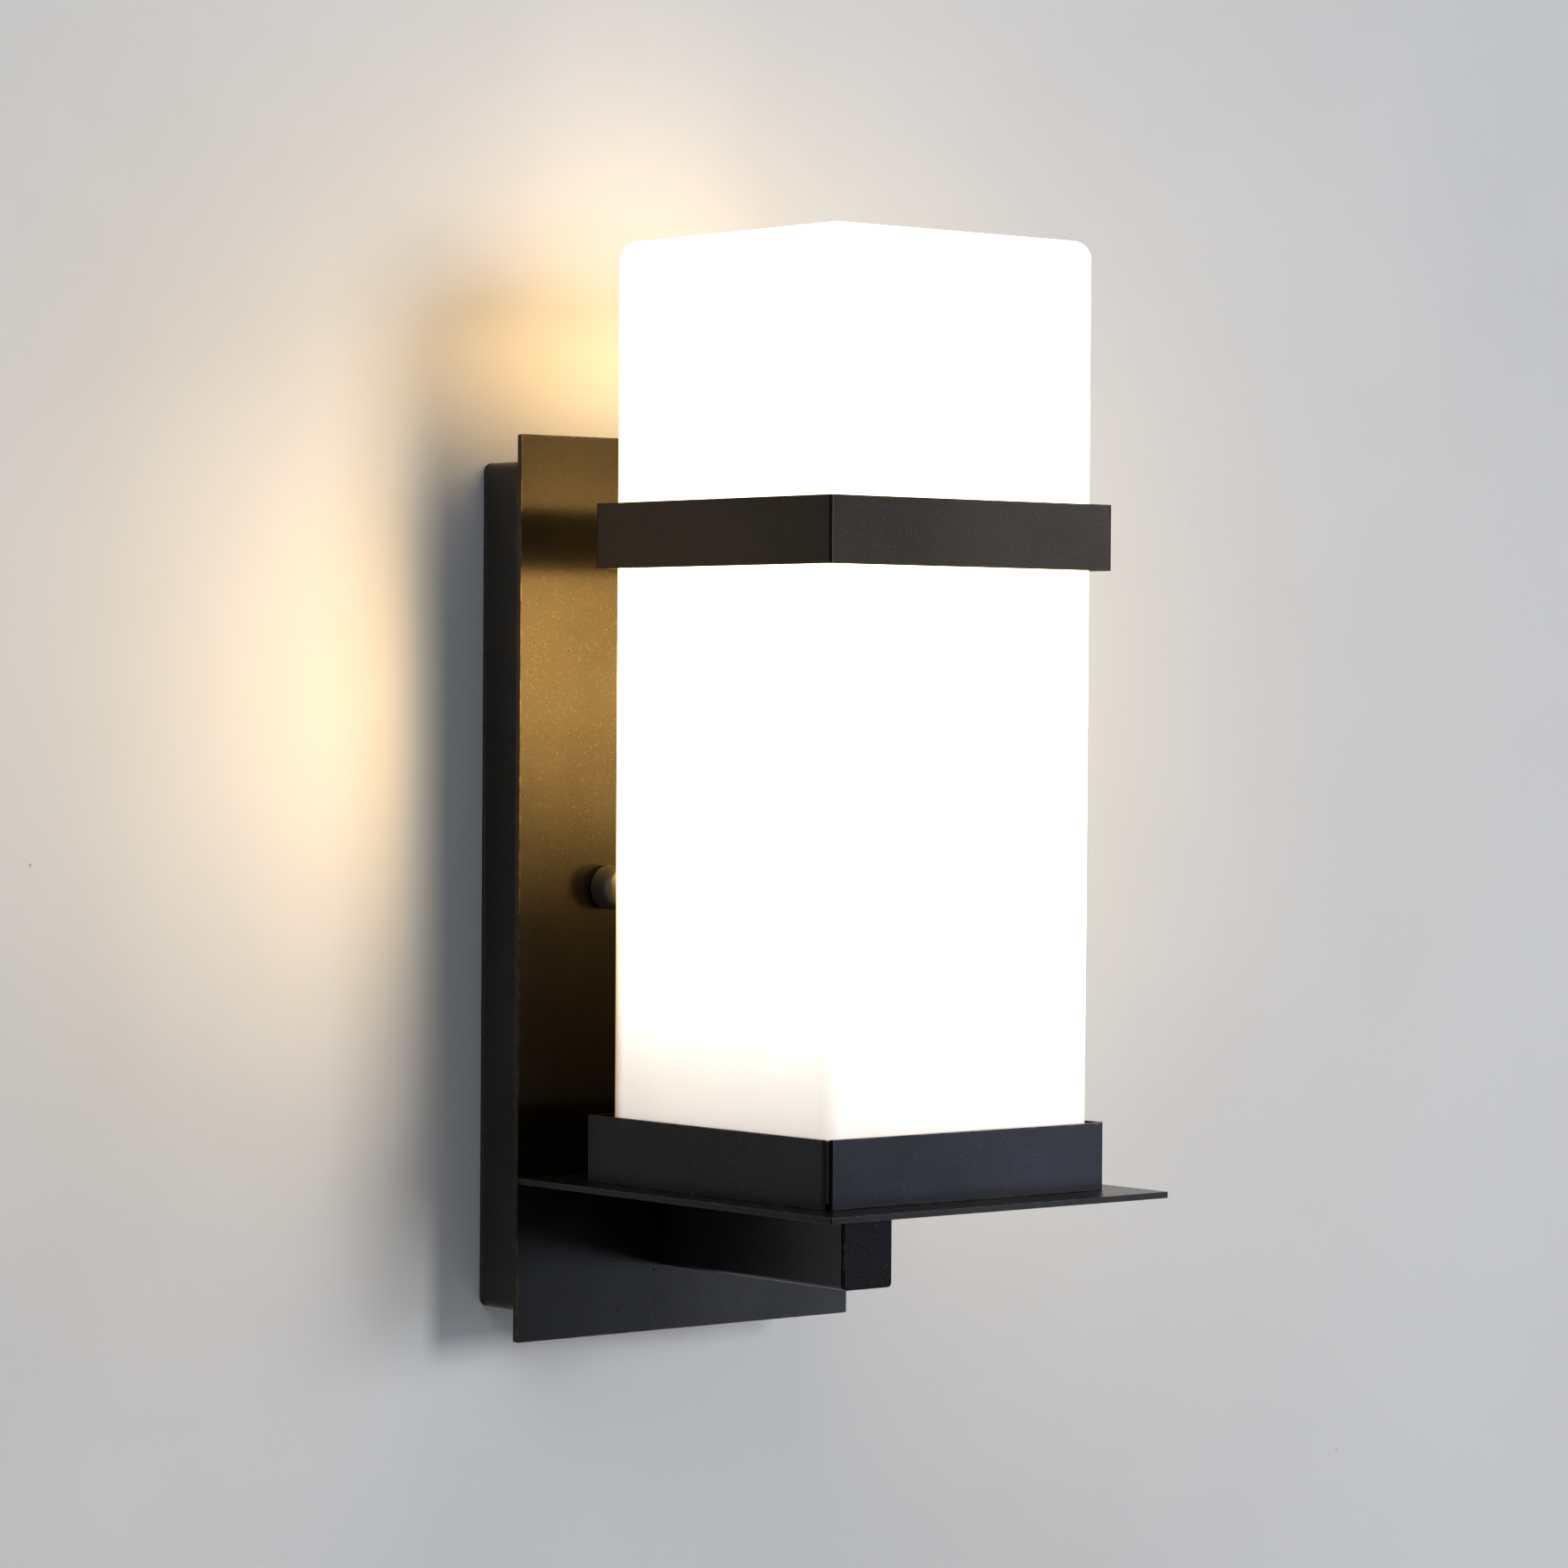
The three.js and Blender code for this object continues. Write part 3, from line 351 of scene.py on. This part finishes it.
def refined(node, material, edge=0.3, segments=3, sharp=30):
    """The CAD node's shape with its facets joined and its sharp edges rounded over, edge in millimetres."""
    bm = bmesh.new()
    bm.from_mesh(nodes[node].data)
    bmesh.ops.remove_doubles(bm, verts=bm.verts, dist=2e-6)
    bmesh.ops.dissolve_limit(bm, angle_limit=math.radians(0.6), verts=bm.verts, edges=bm.edges)
    limit = math.radians(sharp)
    turned = [e for e in bm.edges if len(e.link_faces) == 2 and e.calc_face_angle(0) > limit]
    if edge and turned:
        bmesh.ops.bevel(
            bm, geom=turned, offset=edge * MM, segments=segments, profile=0.5, affect="EDGES",
            clamp_overlap=True, harden_normals=False,
        )
    piece = add_piece(node + "_finish", mesh_from(bm, node + "_finish"), material, node, sharp)
    flat = piece.modifiers.new("flat_faces", "WEIGHTED_NORMAL")
    flat.keep_sharp = True
    flat.weight = 100
    return piece


def filleted(outline, radius, steps):
    """A closed outline of (radius, height) points with its corners rounded, but for those on the axis."""
    points = [Vector(p) for p in outline]
    result = []
    count = len(points)
    for i, here in enumerate(points):
        on_axis = here.x < 1e-6
        if on_axis:
            result.append(here)
            continue
        before = points[i - 1] - here
        after = points[(i + 1) % count] - here
        reach = min(radius, before.length * 0.45, after.length * 0.45)
        start = here + before.normalized() * reach
        end = here + after.normalized() * reach
        for step in range(steps + 1):
            t = step / steps
            result.append(start.lerp(here, t).lerp(here.lerp(end, t), t))
    return result


def turned_mesh(name, outline, place, out=Vector((0, 0, 1)), sides=64, fillet=0.3, steps=3):
    """A body turned about an axis. Its closed outline holds (radius, height along `out`) in millimetres."""
    points = [p * MM for p in filleted(outline, fillet, steps)]
    frame_turn = out.to_track_quat("Z", "Y").to_matrix().to_4x4()
    shift = Matrix.Translation(place) @ frame_turn
    bm = bmesh.new()
    rings = []
    for point in points:
        if point.x < 1e-7:
            rings.append([bm.verts.new(shift @ Vector((0, 0, point.y)))])
            continue
        ring = []
        for i in range(sides):
            turn = 2 * math.pi * i / sides
            spot = Vector((point.x * math.cos(turn), point.x * math.sin(turn), point.y))
            ring.append(bm.verts.new(shift @ spot))
        rings.append(ring)
    for first, second in zip(rings, rings[1:] + rings[:1]):
        if len(first) == 1 and len(second) == 1:
            continue
        for i in range(sides):
            k = (i + 1) % sides
            if len(first) == 1:
                bm.faces.new((first[0], second[k], second[i]))
            elif len(second) == 1:
                bm.faces.new((first[i], first[k], second[0]))
            else:
                bm.faces.new((first[i], first[k], second[k], second[i]))
    return mesh_from(bm, name)


def rounded_ring(half, corner, z, arc_steps=10):
    """A square ring of points about the lamp's axis, with round corners, anticlockwise from above."""
    ring = []
    reach = half - corner
    for quarter, (sx, sy) in enumerate(((1, -1), (1, 1), (-1, 1), (-1, -1))):
        for i in range(arc_steps + 1):
            angle = math.pi / 2 * (quarter - 1 + i / arc_steps)
            x = lamp_axis.x + sx * reach + corner * math.cos(angle)
            y = lamp_axis.y + sy * reach + corner * math.sin(angle)
            ring.append(Vector((x, y, z)))
    return ring


def loft(bm, rings):
    """A skin over the rings in turn, closed over the first and the last."""
    rows = [[bm.verts.new(p) for p in ring] for ring in rings]
    count = len(rows[0])
    for low_row, high_row in zip(rows, rows[1:]):
        for i in range(count):
            k = (i + 1) % count
            bm.faces.new((low_row[i], low_row[k], high_row[k], high_row[i]))
    bm.faces.new(rows[0][::-1])
    bm.faces.new(rows[-1])


def glass_mesh():
    """The shade: a square shell closed at the top, with round edges, a ground rim and straight walls."""
    half = (glass_high.x - glass_low.x) / 2
    corner, wall, rim = 6 * MM, 3 * MM, 1.1 * MM
    dome, rows, rim_steps = 10, 24, 6
    narrowest = 0.05 * MM
    rings = []
    inner_top = glass_high.z - wall
    inner_walls = inner_top - (corner - wall) - glass_low.z - rim
    for i in range(dome + 1):
        turn = math.pi / 2 * (1 - i / dome)
        inset = (corner - wall) * (1 - math.cos(turn))
        bend = max(corner - wall - inset, narrowest)
        height = inner_top - (corner - wall) * (1 - math.sin(turn))
        rings.append(rounded_ring(half - wall - inset, bend, height))
    for i in range(1, rows):
        height = inner_top - (corner - wall) - inner_walls * i / rows
        rings.append(rounded_ring(half - wall, corner - wall, height))
    for i in range(rim_steps + 1):
        turn = math.pi * i / rim_steps
        inset = wall / 2 + wall / 2 * math.cos(turn)
        height = glass_low.z + rim * (1 - math.sin(turn))
        rings.append(rounded_ring(half - inset, corner - inset, height))
    top_start = glass_high.z - corner
    for i in range(1, rows):
        height = glass_low.z + rim + (top_start - glass_low.z - rim) * i / rows
        rings.append(rounded_ring(half, corner, height))
    for i in range(dome + 1):
        turn = math.pi / 2 * i / dome
        inset = corner * (1 - math.cos(turn))
        bend = max(corner - inset, narrowest)
        rings.append(rounded_ring(half - inset, bend, top_start + corner * math.sin(turn)))
    bm = bmesh.new()
    loft(bm, rings)
    return mesh_from(bm, "glass")


# ---- Finishes -------------------------------------------------------------------------------------------
zinc = simple("zinc_steel", (0.4, 0.41, 0.43), (0.55, 0.56, 0.57), 0.32, 1.0, 300, 0.02)
brass = simple("brass", (0.5, 0.34, 0.13), (0.68, 0.48, 0.2), 0.28, 1.0, 260, 0.02)
glaze = {"Coat Weight": 0.6}
porcelain = simple("porcelain", (0.8, 0.78, 0.73), (0.87, 0.86, 0.82), 0.14, 0.0, 90, 0.03, glaze)
silicone = simple("silicone", (0.5, 0.49, 0.46), (0.6, 0.59, 0.56), 0.55, 0.0, 160, 0.04)
rubber = simple("black_rubber", (0.012, 0.012, 0.012), (0.026, 0.026, 0.026), 0.75, 0.0, 400, 0.05)
foam = simple("foam", (0.016, 0.016, 0.017), (0.045, 0.045, 0.046), 0.92, 0.0, 900, 0.3)
white_plastic = simple("white_plastic", (0.78, 0.77, 0.73), (0.84, 0.83, 0.8), 0.42, 0.0, 150, 0.03)
black_sheath = simple("black_sheath", (0.012, 0.012, 0.012), (0.024, 0.024, 0.024), 0.38, 0.0, 300, 0.02)
white_sheath = simple("white_sheath", (0.66, 0.64, 0.59), (0.76, 0.74, 0.69), 0.4, 0.0, 300, 0.02)
green_sheath = simple("green_sheath", (0.02, 0.13, 0.035), (0.035, 0.21, 0.06), 0.4, 0.0, 300, 0.02)
green_steel = simple("green_screw", (0.03, 0.16, 0.05), (0.06, 0.26, 0.09), 0.3, 0.9, 300, 0.02)
orange = simple("orange_plastic", (0.62, 0.15, 0.02), (0.75, 0.21, 0.035), 0.4, 0.0, 200, 0.03)
frosted = glowing("frosted_cover", (1.0, 0.72, 0.38), 3.2, (0.86, 0.84, 0.78))

by_slot = {
    "zinc_steel": zinc,
    "brass": brass,
    "porcelain": porcelain,
    "silicone": silicone,
    "black_rubber": rubber,
    "foam": foam,
    "white_plastic": white_plastic,
    "black_insulation": black_sheath,
    "white_insulation": white_sheath,
    "green_insulation": green_sheath,
    "green_screw": green_steel,
    "orange_plastic": orange,
    "frosted_plastic": frosted,
    "opal_glass": opal("opal_glass"),
}
# Bronze paint by node: the way it is brushed, and its deep tone, roughness, metallic share and wear.
# The one paint's deep tone is set part by part for how each part looks under the light: a painted
# reflection on the bluish collar, painted shade on the dark end cap, a painted highlight on the light cap
# nuts.
GRAINS = {"back_plate": "z", "wall_pan": "z", "shelf": "y", "lower_arm_tube": "y"}
PART_TONES_WITH_PAINTED_LIGHT = {
    "back_plate": ((0.011, 0.0108, 0.0105), 0.21, 0.72),
    "shelf": ((0.011, 0.011, 0.011), 0.3, 0.75, 0.2),
    "shade_band": ((0.014, 0.0112, 0.0085), 0.3, 0.78),
    # Bluish tone: painted cool reflection.
    "shade_collar": ((0.0132, 0.0138, 0.0175), 0.3, 0.77),
    # Near-black tone: painted shade.
    "lower_arm_end_cap": ((0.004, 0.004, 0.005), 0.35, 0.9),
    "lower_arm_tube": ((0.03, 0.03, 0.034), 0.3, 0.6),
    # Light tone on both cap nuts: painted highlight.
    "cap_nut_left": ((0.085, 0.085, 0.08), 0.34, 0.7, 0.0),
    "cap_nut_right": ((0.085, 0.085, 0.08), 0.34, 0.7, 0.0),
}
PLAIN_TONE = ((0.034, 0.031, 0.028), 0.3, 0.6)


def finish_of(node):
    """The material of a node: its slot's, or a bronze paint of its own, worn along its own edges."""
    if node_slot[node] != "bronze_paint":
        return by_slot[node_slot[node]]
    return bronze(node + "_paint", *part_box(node), *PART_TONES_WITH_PAINTED_LIGHT.get(node, PLAIN_TONE), grain=GRAINS.get(node, "x"))


# ---- Pieces ---------------------------------------------------------------------------------------------
# How far the sharp edges are rounded over, in millimetres.
EDGES = {
    "back_plate": 0.45,
    "wall_pan": 0.5,
    "shelf": 0.35,
    "shade_collar": 0.2,
    "shade_band": 0.18,
    "lower_arm_tube": 0.4,
    "lower_arm_end_cap": 0.4,
    "band_spacer": 0.4,
}
SMALL_EDGE = 0.2
LEAD_EDGE = 0.12


def cap_nut(node):
    """A domed nut with its socket, turned about the stud."""
    low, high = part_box(node)
    place = Vector(((low.x + high.x) / 2, high.y, (low.z + high.z) / 2))
    length = (high.y - low.y) / MM
    outline = [
        (2.7, 0), (6.3, 0), (7.25, 0.8), (7.25, length - 4.4), (6.6, length - 2.2), (4.6, length - 0.7),
        (2.0, length - 0.1), (0, length), (0, 9), (2.7, 9),
    ]
    mesh = turned_mesh(node, outline, place, Vector((0, -1, 0)), fillet=1.0, steps=5)
    add_piece(node + "_finish", mesh, finish_of(node), node)


def turned_piece(node, outline, fillet=0.4, steps=3):
    """A body turned about the lamp's axis, its outline's heights above the lantern's origin."""
    mesh = turned_mesh(node, outline, lamp_axis, fillet=fillet, steps=steps)
    add_piece(node + "_finish", mesh, finish_of(node), node)


def dome_points(radius, middle, steps=14):
    """A quarter circle from its widest point up to the axis."""
    turns = [math.pi / 2 * i / steps for i in range(steps)]
    return [*((radius * math.cos(t), middle + radius * math.sin(t)) for t in turns), (0, middle + radius)]


def thread_points(radius, swell, bottom, top, pitch=3.63, steps=8):
    """A rolled thread seen as rings: points up a wall whose radius swells and shrinks."""
    count = max(1, round((top - bottom) / pitch * steps))
    heights = [bottom + (top - bottom) * i / count for i in range(count + 1)]
    return [(radius + swell * 0.5 * (1 - math.cos(2 * math.pi * (h - bottom) / pitch)), h) for h in heights]


def build_object():
    """Every piece of the lantern: turned ones from outlines in millimetres, the others from the frame."""
    add_piece("glass_shade_finish", glass_mesh(), finish_of("glass_shade"), "glass_shade", 60)
    cap_nut("cap_nut_left")
    cap_nut("cap_nut_right")
    for node, edge in EDGES.items():
        refined(node, finish_of(node), edge)
    diffuser = [(28.2, 6), (29.4, 6), *dome_points(30, 16), *dome_points(28.8, 16)[::-1]]
    turned_piece("bulb_diffuser", diffuser, 0.2, 1)
    housing = [
        (11.3, -41), (11.3, -34.8), (13.4, -34.8), (13.9, -31), (15.6, -25), (19, -17), (23, -9),
        (26.5, -3), (28.6, 2), (29.4, 5.8), (28.2, 5.8), (25.3, -2.5), (17.8, -16.4), (12.4, -30.4),
        (10.1, -35), (10.1, -41),
    ]
    turned_piece("bulb_housing", housing, 1.6, 4)
    cap = [*thread_points(12.2, 0.6, -55.9, -35), (11.7, -35), (11.7, -55.9)]
    turned_piece("bulb_screw_cap", cap, 0.1, 1)
    shell = [(14.3, -64.8), (14.3, -38.5), *thread_points(13.2, 0.55, -64.8, -38.5)[::-1]]
    turned_piece("lampholder_screw_shell", shell, 0.1, 1)
    body = [
        (0, -75), (16.6, -75), (16.6, -69.6), (19.5, -68.8), (19.5, -52), (18.6, -50), (18.6, -46),
        (19.5, -44), (19.5, -38.2), (18.3, -37), (15.2, -37), (14.6, -37.6), (14.6, -66), (0, -66),
    ]
    turned_piece("lampholder_body", body, 0.7, 4)
    cup = [
        (5.05, -88), (14, -88), (17, -86), (18, -83), (18, -70), (17, -70), (17, -82.4), (16.2, -85),
        (13.6, -87), (5.05, -87),
    ]
    turned_piece("lampholder_cap", cup, 0.4, 3)
    for node in nodes:
        if node + "_finish" in pieces:
            continue
        edge = LEAD_EDGE if node.startswith(("lead", "earth_lead")) else SMALL_EDGE
        refined(node, finish_of(node), edge, 2)


# ---- Stage and light ------------------------------------------------------------------------------------
def stage_plane(name, size, place, facing, material, hole=None):
    """A square of stage, with an optional hole in its middle, given by the hole's two half widths."""
    bm = bmesh.new()
    corners = ((-1, -1), (1, -1), (1, 1), (-1, 1))
    if hole:
        inner = [bm.verts.new((sx * hole[0], sy * hole[1], 0)) for sx, sy in corners]
        outer = [bm.verts.new((sx * size / 2, sy * size / 2, 0)) for sx, sy in corners]
        for i in range(4):
            k = (i + 1) % 4
            bm.faces.new((outer[i], outer[k], inner[k], inner[i]))
    else:
        bmesh.ops.create_grid(bm, x_segments=8, y_segments=8, size=size / 2)
    mesh = bpy.data.meshes.new(name)
    bm.to_mesh(mesh)
    bm.free()
    mesh.materials.append(material)
    plane = bpy.data.objects.new(name, mesh)
    turn = Vector(facing).to_track_quat("Z", "Y").to_matrix().to_4x4()
    plane.matrix_world = Matrix.Translation(place) @ turn
    bpy.context.scene.collection.objects.link(plane)


def light_from(name, turn, rise, reach, size, power, colour):
    """An area light facing the lantern, `turn` degrees right of straight ahead and `rise` degrees up."""
    middle = Vector((0, -0.1, 0.03))
    across = reach * math.cos(math.radians(rise))
    away = Vector((math.sin(math.radians(turn)) * across, -math.cos(math.radians(turn)) * across, 0))
    away.z = reach * math.sin(math.radians(rise))
    light = bpy.data.lights.new(name, "AREA")
    light.shape = "RECTANGLE"
    light.size, light.size_y = size
    light.energy = power
    light.color = colour
    holder = bpy.data.objects.new(name, light)
    holder.location = middle + away
    holder.rotation_euler = (-away).to_track_quat("-Z", "Y").to_euler()
    bpy.context.scene.collection.objects.link(holder)


def build_stage():
    """A pale wall, open behind the pan, a pale floor, a dim room and soft panels of light."""
    wall = plaster("wall_plaster", (0.74, 0.74, 0.745))
    pan_low, pan_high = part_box("wall_pan")
    lap = 3 * MM
    opening = ((pan_high.x - pan_low.x) / 2 - lap, (pan_high.z - pan_low.z) / 2 - lap)
    stage_plane("wall", 7.0, (0, 0.4 * MM, 0), (0, -1, 0), wall, opening)
    stage_plane("floor", 7.0, (0, -3.4, -1.3), (0, 0, 1), plaster("floor_plaster", (0.72, 0.72, 0.72)))
    world = bpy.data.worlds.new("soft_room")
    world.use_nodes = True
    background = world.node_tree.nodes["Background"]
    background.inputs["Color"].default_value = (0.95, 0.975, 1.02, 1)
    background.inputs["Strength"].default_value = 0.12
    bpy.context.scene.world = world
    light_from("key", 14, 7, 3.0, (0.66, 1.0), 34, (0.99, 1.0, 1.0))
    light_from("upper_panel", 47.8, 7.5, 3.0, (0.8, 0.8), 10.5, (0.98, 0.985, 1.0))
    light_from("lower_panel", 47.8, -8, 3.0, (0.8, 0.72), 7, (0.82, 0.9, 1.1))
    light_from("behind", 180, 42, 1.6, (0.7, 0.7), 14, (1.0, 1.0, 1.0))
    light_from("left_fill", -50, 38, 1.6, (0.8, 0.8), 3.6, (0.9, 0.98, 1.1))


bpy.context.scene.view_settings.view_transform = "Standard"
add_camera()
build_object()
build_stage()
